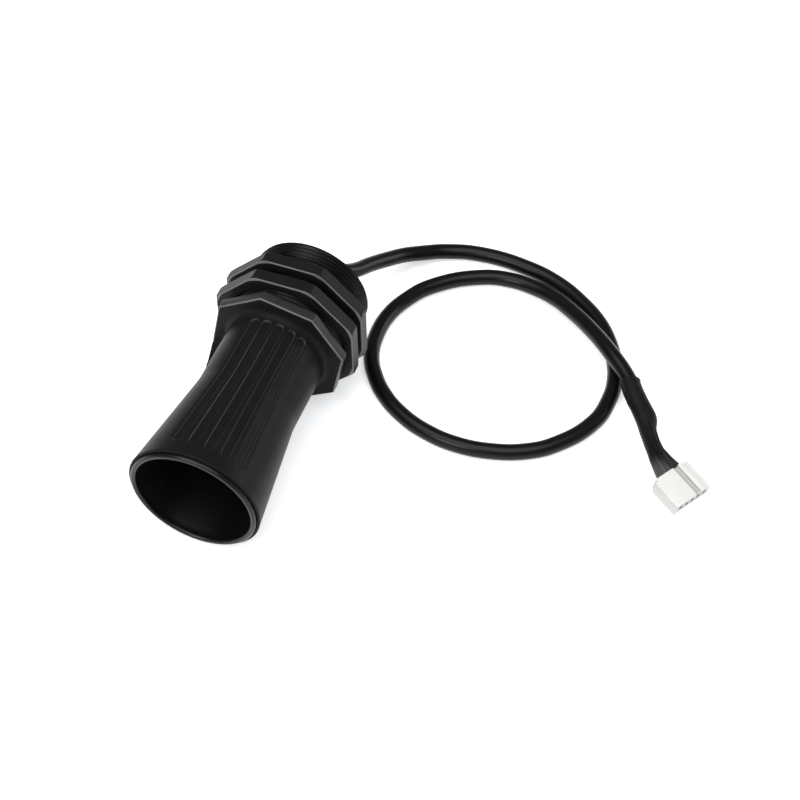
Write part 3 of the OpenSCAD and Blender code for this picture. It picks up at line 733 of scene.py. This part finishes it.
# Cable: its route in millimetres, as the solid has it, except (50.63, 18.62, 2.75), which is 0.7 mm off
cable = {
    "diameter": 0.0054, "insideZ": 83.0, "noseZ": 95.0, "roundSteps": 7, "lengthSteps": 10,
    "route": [
        (1.4, 55.5, 22.8), (6.9, 66, 16.3), (9.8, 74.3, 12.6), (12.9, 81.2, 9.6),
        (16.9, 88.1, 6.8), (21.8, 93.3, 4.8), (28.7, 98.5, 3.2), (40.3, 102, 2.75),
        (58.8, 101.3, 2.75), (71.3, 97.6, 2.75), (80.8, 92.1, 2.75), (89, 85.4, 2.75),
        (94.8, 78.1, 2.75), (99.5, 69.1, 2.75), (101.9, 60.8, 2.75), (102.4, 52.5, 2.75),
        (100.6, 42, 2.75), (91.3, 28, 2.75), (83.7, 22.3, 2.75), (73.4, 18.4, 2.75),
        (61.9, 17, 2.75), (50.63, 18.62, 2.75), (40.6, 22.7, 2.75), (32.5, 28.5, 2.75),
        (26.9, 34.8, 2.75), (22.4, 42.7, 2.75), (20.4, 52.2, 2.75), (20.8, 62.7, 2.75),
        (24, 72, 2.75), (29.5, 80.5, 2.75), (45.2, 91.5, 2.75), (54.9, 93.6, 2.75),
        (63.4, 92.6, 3.2), (71.7, 89.5, 4.2), (79.8, 84.1, 5.6), (88.2, 77.1, 7.3),
        (97.6, 68.1, 8.7), (106.6, 59.7, 7.45),
    ],
    # where the jacket ends, which the solid doesn't have
    "insideSleeve": (109.1, 56.3, 6.8),
}


def makeCable():
    points = [axisPoint(cable["insideZ"]), axisPoint(cable["noseZ"])]
    points += [Vector(p) * mm for p in cable["route"] + [cable["insideSleeve"]]]
    data = bpy.data.curves.new("cableJacket", "CURVE")
    data.dimensions = "3D"
    data.bevel_depth = cable["diameter"] / 2
    data.bevel_resolution = cable["roundSteps"]
    data.resolution_u = cable["lengthSteps"]
    data.use_fill_caps = True
    spline = data.splines.new("BEZIER")
    spline.bezier_points.add(len(points) - 1)
    for knot, point in zip(spline.bezier_points, points):
        knot.co = point
        knot.handle_left_type = "AUTO"
        knot.handle_right_type = "AUTO"
    obj = bpy.data.objects.new("cableJacket", data)
    bpy.context.collection.objects.link(obj)
    obj.data.materials.append(mouldedPlastic("extrudedPvcJacket", jacketLook))
    length = sum((b - a).length for a, b in zip(points, points[1:]))
    return obj, points, length


cableObj, cablePoints, cableLength = makeCable()
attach(cableObj, "sensor")
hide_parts("cable")
print("cable", round(cableLength, 4))

housingObj = makeHousing()
housingObj.data.materials.append(mouldedPlastic("sparkErodedAbs", housingLook))
housingObj.data.materials.append(mouldedPlastic("absEdgePaintedHighlight", edgeHighlightLook))
housingObj.data.materials.append(mouldedPlastic("absRimPaintedHighlight", rimHighlightLook))
housingObj.data.materials.append(mouldedPlastic("threadAbsPaintedShade", threadShadeLook))
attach(housingObj, "sensor")
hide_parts("housing")
print("housing", len(housingObj.data.polygons))


# Acoustic cone: turned skin with a round bead

cone = {
    "collar": 20.65, "collarDepth": 2.5, "bead": 1.8, "throat": 8.2, "wall": 1.1, "rearZ": 47.0,
    "foot": 1.2, "throatEdge": 0.3, "rows": (0.0, 1.5, 8, 16, 24, 32, 40), "beadSteps": 24, "sides": 192,
}


def makeCone():
    beadRadius = cone["bead"] / 2
    crest = cone["collar"] - beadRadius
    beadZ = beadRadius - lay["beadProud"]
    mouth = cone["collar"] - cone["bead"]
    rear = cone["rearZ"]
    foot = cone["foot"]
    slope = (mouth - cone["throat"]) / rear
    outline = []
    for i in range(cone["beadSteps"] + 1):
        turn = math.pi * i / cone["beadSteps"]
        outline.append((crest + beadRadius * math.cos(turn), beadZ - beadRadius * math.sin(turn)))
    outline += [(mouth - slope * z, z) for z in (*cone["rows"], rear - cone["throatEdge"])]
    outline += [
        (cone["throat"] + cone["throatEdge"], rear),
        (cone["throat"] + cone["wall"] + foot, rear),
        (cone["throat"] + cone["wall"] + foot, rear - foot),
        (cone["throat"] + slope * foot + cone["wall"], rear - foot),
        (mouth - slope * cone["collarDepth"] + cone["wall"], cone["collarDepth"]),
        (cone["collar"], cone["collarDepth"]),
    ]
    angles = [2 * math.pi * j / cone["sides"] for j in range(cone["sides"])]
    rows = [[ringPoint(a, radius, z) for a in angles] for radius, z in outline]
    return meshFromGrid("acousticCone", rows, axisToTable)


coneObj = makeCone()
coneObj.data.materials.append(mouldedPlastic("polishedAbs", coneLook))
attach(coneObj, "sensor")
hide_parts("horn_cone")


# Lock nuts: octagons with rounded edges and corners cut back by a cone at both faces

nuts = {
    "flat": 23.7, "sharpness": 420, "bore": 20.06, "lead": 0.6, "edge": 0.42, "unhighlighted": 0.12,
    "chamfer": 0.6, "chamferSlope": 1.6, "chamferBlend": 9,
    # columns in degrees, closer at the corners; rows by their depth behind either face, in millimetres
    "columnStep": 3, "cornerStep": 0.5, "cornerSteps": 16,
    "depths": [0, 0.02, 0.06, 0.13, 0.22, 0.32, 0.42, 0.5, 0.6, 0.7, 0.8, 1.0, 1.4],
    "front": {"z": 69.4, "t": 4.6}, "rear": {"z": 77.4, "t": 4.3},
}


def makeNut(name, z0, t):
    corner = nuts["flat"] / math.cos(math.pi / 8)
    face = corner - nuts["chamfer"] * nuts["chamferSlope"]
    angles = {round(a, 2) for a in span(0, 360 - nuts["columnStep"], nuts["columnStep"])}
    steps = nuts["cornerSteps"]
    for k in range(8):
        angles |= {wholeTurn(22.5 + 45 * k + nuts["cornerStep"] * i) for i in range(-steps, steps + 1)}
    columns = [math.radians(a) for a in sorted(angles)]
    stations = nuts["depths"] + [t / 2] + [t - d for d in reversed(nuts["depths"])]

    def radius(a, s):
        near = min(s, t - s)
        coneRadius = face + (corner - face) * near / nuts["chamfer"]
        side = octagonRadius(a, nuts["flat"], 0, nuts["sharpness"])
        return softMin(side, coneRadius, nuts["chamferBlend"]) - edgeRound(near, nuts["edge"])

    # Rows of the front face's rounded edge, short of its unhighlighted share, take the painted highlight
    # Two rows lie on the front face before the stations start
    edgeRows = [i + 2 for i, s in enumerate(stations[:-1]) if s < nuts["edge"] - nuts["unhighlighted"]]
    bore = nuts["bore"]
    lead = bore + nuts["lead"]
    rows = [[ringPoint(a, lead, 0) for a in columns]]
    rows.append([ringPoint(a, (lead + radius(a, 0)) / 2, 0) for a in columns])
    rows += [[ringPoint(a, radius(a, s), s) for a in columns] for s in stations]
    rows.append([ringPoint(a, (lead + radius(a, t)) / 2, t) for a in columns])
    for boreRadius, s in ((lead, t), (bore, t - nuts["lead"]), (bore, nuts["lead"])):
        rows.append([ringPoint(a, boreRadius, s) for a in columns])
    return meshFromGrid(name, rows, axisToTable @ Matrix.Translation((0, 0, z0)), 30, edgeRows=edgeRows)


nutMaterial = mouldedPlastic("mouldedNylon", nutLook)
nutEdgeHighlight = mouldedPlastic("nylonEdgePaintedHighlight", edgeHighlightLook)
for name, node, body, size in (("frontLockNut", "lock_nut_front", "front_nut", nuts["front"]),
                               ("rearLockNut", "lock_nut_rear", "rear_nut", nuts["rear"])):
    nutObj = makeNut(name, size["z"], size["t"])
    nutObj.data.materials.append(nutMaterial)
    nutObj.data.materials.append(nutEdgeHighlight)
    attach(nutObj, body)
    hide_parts(node)
print("cone and nuts")


# Sleeve: shrink tube over the jacket's end and the five wires, fanned out flat where it meets the plug

sleeve = {
    "startHeading": (8.9, -9.6, -1.6), "endHeading": (0.8414, -0.5056, -0.1908), "turnSteps": 6,
    # millimetres: x, y, z, half-width, half-height, roundness of the section, depth of the wire ridges
    "stations": [
        (106.6, 59.7, 7.45, 3.3, 3.3, 2.0, 0.0),
        (110.4, 54.4, 6.4, 3.35, 3.2, 2.1, 0.0),
        (113.5, 50.8, 5.6, 3.4, 3.1, 2.2, 0.0),
        (116.5, 46.9, 5.0, 3.45, 3.0, 2.4, 0.0),
        (118.5, 42.5, 4.6, 2.75, 2.7, 2.3, 0.1),
        (121.9, 36.9, 4.5, 2.7, 2.5, 2.3, 0.2),
        (125.1, 32.9, 4.6, 3.4, 2.3, 2.5, 0.25),
        (129.28, 28.5, 4.81, 4.7, 2.2, 3.0, 0.3),
    ],
    "sides": 60, "steps": 7, "obliqueCut": 2.1, "cutRun": 4.0, "wall": 0.45, "ridges": 5,
    "lump": 0.03, "lumpScale": 0.35, "lumpTurn": 0.05, "grip": 0.02, "firstInner": 3,
    # rings that close the ends: share of the outline, and shift along the tube in millimetres
    "lipShare": 0.985, "lipShifts": (1.0, 0.15, 0.06, 0.3), "tailShare": 0.99, "tailShift": 0.1,
    # where the tube is paler, from stretch and painted sheen: distance from the plug's end, place across
    # it, least share
    "paleReach": (8.0, 2.5), "paleAcross": (-1.6, 1.2), "leastPale": 0.25,
}


# One point of a smooth curve through the stations, a Catmull-Rom blend of each of their values
def blendPoint(before, start, end, after, t):
    blended = []
    for a, b, c, d in zip(before, start, end, after):
        square = 2 * a - 5 * b + 4 * c - d
        cube = 3 * b - a - 3 * c + d
        blended.append(0.5 * (2 * b + (c - a) * t + square * t * t + cube * t ** 3))
    return tuple(blended)


def makeSleeve():
    stations = sleeve["stations"]
    before = tuple(2 * a - b for a, b in zip(stations[0], stations[1]))
    after = tuple(2 * a - b for a, b in zip(stations[-1], stations[-2]))
    knots = [before] + stations + [after]
    path = []
    for i in range(len(stations) - 1):
        for step in range(sleeve["steps"]):
            path.append(blendPoint(*knots[i:i + 4], step / sleeve["steps"]))
    path.append(stations[-1])
    centres = [Vector(p[:3]) for p in path]
    rows = []
    run = 0.0
    for i, (x, y, z, wide, high, power, ridge) in enumerate(path):
        if i > 0:
            run += (centres[i] - centres[i - 1]).length
        along = centres[min(i + 1, len(path) - 1)] - centres[max(i - 1, 0)]
        if i == 0:
            along = Vector(sleeve["startHeading"])
        along.normalize()
        # The last rings turn step by step into the plug's direction
        turned = max(0.0, (i - len(path) + 1 + sleeve["turnSteps"]) / sleeve["turnSteps"])
        along = along.lerp(Vector(sleeve["endHeading"]).normalized(), turned).normalized()
        side = along.cross(Vector((0, 0, 1))).normalized()
        top = side.cross(along)
        row = []
        for k in range(sleeve["sides"]):
            a = 2 * math.pi * k / sleeve["sides"]
            c, s = math.cos(a), math.sin(a)
            u = math.copysign(abs(c) ** (2 / power), c)
            v = math.copysign(abs(s) ** (2 / power), s)
            wave = 0.5 + 0.5 * math.cos(2 * math.pi * sleeve["ridges"] * (u + 1) / 2)
            crest = 1 - ridge * wave * abs(s)
            spot = Vector((x * sleeve["lumpScale"], y * sleeve["lumpScale"], k * sleeve["lumpTurn"]))
            lump = 1 + sleeve["lump"] * noise.noise(spot)
            cut = sleeve["obliqueCut"] * (1 - c) / 2 * max(0.0, 1 - run / sleeve["cutRun"])
            point = centres[i] + side * (wide * u * lump)
            row.append(point + top * (high * v * crest * lump) + along * cut)
        rows.append(row)

    def inset(row, centre, share, shift):
        return [centre + (p - centre) * share + shift for p in row]

    startShift = Vector(sleeve["startHeading"]).normalized()
    startCentre = sum(rows[0], Vector()) / len(rows[0])
    jacketShare = (cable["diameter"] / mm / 2 - sleeve["grip"]) / stations[0][3]
    deep, shallow, outer, first = (startShift * shift for shift in sleeve["lipShifts"])
    lip = [inset(rows[0], startCentre, jacketShare, deep),
           inset(rows[0], startCentre, jacketShare, shallow),
           inset(rows[0], startCentre, (jacketShare + 1) / 2, Vector()),
           inset(rows[0], startCentre, sleeve["lipShare"], outer)]
    rows[0] = inset(rows[0], startCentre, 1.0, first)
    endShift = Vector(sleeve["endHeading"]).normalized()
    endCentre = centres[-1]
    tailShift = endShift * sleeve["tailShift"]
    tail = [inset(rows[-1], endCentre, sleeve["tailShare"], tailShift),
            inset(rows[-1], endCentre, 1 - sleeve["wall"] / stations[-1][4], tailShift)]
    # The inner skin follows the same bends, from the plug's end back to the jacket
    inner = [inset(row, sum(row, Vector()) / len(row), jacketShare, Vector())
             for row in reversed(rows[sleeve["firstInner"]:-1])]
    grid = lip + rows + tail + inner
    obj = meshFromGrid("shrinkSleeve", grid, Matrix.Scale(mm, 4), 50,
                       edgeRows=range(len(lip + rows) - 1, len(grid)))
    # Share of paleness on each point: stretch near the plug's end, painted sheen across
    stretch = obj.data.attributes.new("stretch", "FLOAT", "POINT")
    across = endShift.cross(Vector((0, 0, 1))).normalized()
    least = sleeve["leastPale"]
    for vertex, value in zip(obj.data.vertices, stretch.data):
        offset = vertex.co / mm - endCentre
        spread = smoothStep(*sleeve["paleAcross"], offset.dot(across))
        value.value = smoothStep(*sleeve["paleReach"], offset.length) * (least + (1 - least) * spread)
    return obj


# Polyolefin pales where the fanned wires stretch it, and more on one side as painted sheen
def addStretchAndSheen(material, look):
    tree = material.node_tree
    shader = next(n for n in tree.nodes if n.bl_idname == "ShaderNodeBsdfPrincipled")
    tone = shader.inputs["Base Color"].links[0].from_node
    stretch = addNode(material, "ShaderNodeAttribute", {"attribute_name": "stretch"})
    pale = addNode(material, "ShaderNodeMix", {"data_type": "RGBA"},
                   {"Factor": (stretch, "Fac"), 6: (tone, 2)})
    pale.inputs[7].default_value = linear(look["stretchAndSheenTone"])
    tree.links.new(pale.outputs[2], shader.inputs["Base Color"])
    return material


sleeveObj = makeSleeve()
sleeveObj.data.materials.append(addStretchAndSheen(mouldedPlastic("shrunkPolyolefin", shrinkLook), shrinkLook))
sleeveObj.data.materials.append(mouldedPlastic("cutPolyolefin", cutLook))
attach(sleeveObj, "sensor")
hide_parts("heat_shrink_sleeve")
print("sleeve")


# Carried-over pieces keep their solids, and get their finishes and, some of them, slightly rounded edges

def addBevel(obj, width):
    bevel = obj.modifiers.new("edges", "BEVEL")
    bevel.width = width
    bevel.segments = 3
    bevel.limit_method = "ANGLE"
    bevel.angle_limit = math.radians(40)


def dress(node, material, bevelMm=0.0):
    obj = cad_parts[node]
    obj.data.materials.clear()
    obj.data.materials.append(material)
    if bevelMm:
        addBevel(obj, bevelMm * mm)


rubber = mouldedPlastic("mouldedRubber", rubberLook)
bronze = drawnMetal("tinnedBronze", bronzeLook)
chipEpoxy = mouldedPlastic("chipEpoxy", epoxyLook)
dyes = {tint: mouldedPlastic("insulation" + tint, dict(insulationLook, dark=pair[0], light=pair[1]))
        for tint, pair in insulation.items()}
dress("potting_disc", mouldedPlastic("castEpoxy", resinLook), 0.2)
dress("cable_grommet", rubber, 0.3)
dress("isolation_sleeve", rubber, 0.15)
dress("transducer_can", drawnMetal("drawnAluminium", aluminiumLook), 0.15)
dress("piezo_disc", mouldedPlastic("firedCeramic", ceramicLook))
dress("damping_pad", openFoam("openCellFoam", foamLook), 0.3)
dress("can_filler", mouldedPlastic("curedSilicone", siliconeLook))
dress("circuit_board", wovenLaminate("glassEpoxyBoard", boardLook))
dress("step_up_transformer", mouldedPlastic("sinteredFerrite", ferriteLook), 0.15)
dress("reservoir_capacitor", drawnMetal("capacitorCan", aluminiumLook), 0.15)
dress("crystal", drawnMetal("nickelPlatedCan", nickelLook), 0.15)
for node in ("controller_chip", "receiver_chip"):
    dress(node, chipEpoxy)
for node in ("transducer_pin_left", "transducer_pin_right", *("contact_%d" % k for k in range(1, 6))):
    dress(node, bronze)
for node, tint in (("transducer_lead_left", "Black"), ("transducer_lead_right", "Red"),
                   ("core_wire_1", "Red"), ("core_wire_2", "Black"), ("core_wire_3", "White"),
                   ("core_wire_4", "Yellow"), ("core_wire_5", "Green")):
    dress(node, dyes[tint])
print("inner pieces")


# Plug: five-way crimp housing, wider body with a narrower tail, groove and lowered edge along one side

plug = {
    "nose": (138.2, 22.7, 0.0), "yaw": -31.0, "pitch": 11.0,
    "wide": 14.9, "long": 10.2, "thick": 5.4, "tailLong": 1.1, "tailInset": 1.0,
    "grooveX": -3.0, "grooveWide": 2.1, "grooveDeep": 1.1, "stepX": -4.6, "stepDeep": 1.4,
    "ways": 5, "pitchX": 2.5, "cavityWide": 1.9, "cavityHigh": 2.1, "cavityFloor": 1.7, "cavityDeep": 7.7,
    "edge": 0.22, "overlap": 1,
    # a face takes the top's finish by its upward normal and by its height, within these margins; the rest
    # take the painted shade
    "levelNormal": 0.6, "grooveSlack": 0.15, "stepSlack": 0.2,
}


def plugProfile(inset):
    groove = plug["grooveX"]
    top = plug["thick"]
    half = plug["wide"] / 2
    return [(-half, 0), (half - inset, 0), (half - inset, top), (groove + plug["grooveWide"], top),
            (groove + plug["grooveWide"], top - plug["grooveDeep"]), (groove, top - plug["grooveDeep"]),
            (groove, top), (plug["stepX"], top), (plug["stepX"], top - plug["stepDeep"]),
            (-half, top - plug["stepDeep"])]


def extrudeProfile(name, profile, y0, y1):
    bm = bmesh.new()
    ends = [[bm.verts.new((x, y, z)) for x, z in profile] for y in (y0, y1)]
    count = len(profile)
    for j in range(count):
        k = (j + 1) % count
        bm.faces.new((ends[0][j], ends[0][k], ends[1][k], ends[1][j]))
    bm.faces.new(ends[0])
    bm.faces.new(ends[1])
    bmesh.ops.recalc_face_normals(bm, faces=bm.faces)
    return newObject(name, bm)


def applyModifiers(obj):
    depsgraph = bpy.context.evaluated_depsgraph_get()
    mesh = bpy.data.meshes.new_from_object(obj.evaluated_get(depsgraph))
    obj.modifiers.clear()
    obj.data = mesh


def makePlug():
    body = extrudeProfile("plugHousing", plugProfile(0), -plug["long"], 0)
    tailEnd = -plug["long"] - plug["tailLong"]
    tools = [(extrudeProfile("tail", plugProfile(plug["tailInset"]), tailEnd, -plug["overlap"]), "UNION")]
    for k in range(plug["ways"]):
        x = (k - (plug["ways"] - 1) / 2) * plug["pitchX"]
        low = plug["cavityFloor"]
        wide = plug["cavityWide"] / 2
        high = low + plug["cavityHigh"]
        cavity = [(x - wide, low), (x + wide, low), (x + wide, high), (x - wide, high)]
        tools.append((extrudeProfile("cavity", cavity, -plug["cavityDeep"], plug["overlap"]), "DIFFERENCE"))
    for tool, operation in tools:
        cut = body.modifiers.new(operation.lower(), "BOOLEAN")
        cut.operation = operation
        cut.object = tool
        cut.solver = "EXACT"
    applyModifiers(body)
    for tool, operation in tools:
        bpy.data.objects.remove(tool)
    addBevel(body, plug["edge"])
    applyModifiers(body)
    body.data.materials.append(mouldedPlastic("naturalNylon", plugLook))
    body.data.materials.append(mouldedPlastic("nylonPaintedShade", plugShadeLook))
    # Faces that don't face up, and the groove, take the greyer nylon as painted shade
    stepFloor = plug["thick"] - plug["stepDeep"]
    grooveEnd = plug["grooveX"] + plug["grooveWide"]
    for face in body.data.polygons:
        centre = face.center
        sunk = centre.z < plug["thick"] - plug["grooveSlack"]
        inGroove = sunk and plug["grooveX"] < centre.x < grooveEnd
        level = face.normal.z > plug["levelNormal"] and centre.z > stepFloor - plug["stepSlack"]
        face.material_index = 0 if level and not inGroove else 1
        face.use_smooth = True
    body.data.transform(
        Matrix.Scale(mm, 4)
        @ Matrix.Translation(plug["nose"])
        @ Matrix.Rotation(math.radians(plug["yaw"] - 90), 4, "Z")
        @ Matrix.Rotation(math.radians(-plug["pitch"]), 4, "X")
    )
    body.data.set_sharp_from_angle(angle=math.radians(35))
    return body


plugObj = makePlug()
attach(plugObj, "sensor")
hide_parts("plug_housing")
print("plug")


# Table

table = {
    "half": 3.0, "colour": "#f4f4f4", "rough": 0.6, "shine": 0.2, "glow": "#f6f8fa", "glowStrength": 0.55,
}


def makeTable():
    bm = bmesh.new()
    half = table["half"]
    for x, y in ((-half, -half), (half, -half), (half, half), (-half, half)):
        bm.verts.new((x, y, 0))
    bm.faces.new(bm.verts)
    obj = finishMesh("table", bm)
    material = newMaterial("paleTable")
    shader = addNode(material, "ShaderNodeBsdfPrincipled",
                     {"Base Color": linear(table["colour"]), "Roughness": table["rough"],
                      "Specular IOR Level": table["shine"], "Emission Color": linear(table["glow"]),
                      "Emission Strength": table["glowStrength"]})
    obj.data.materials.append(finishMaterial(material, shader))


makeTable()
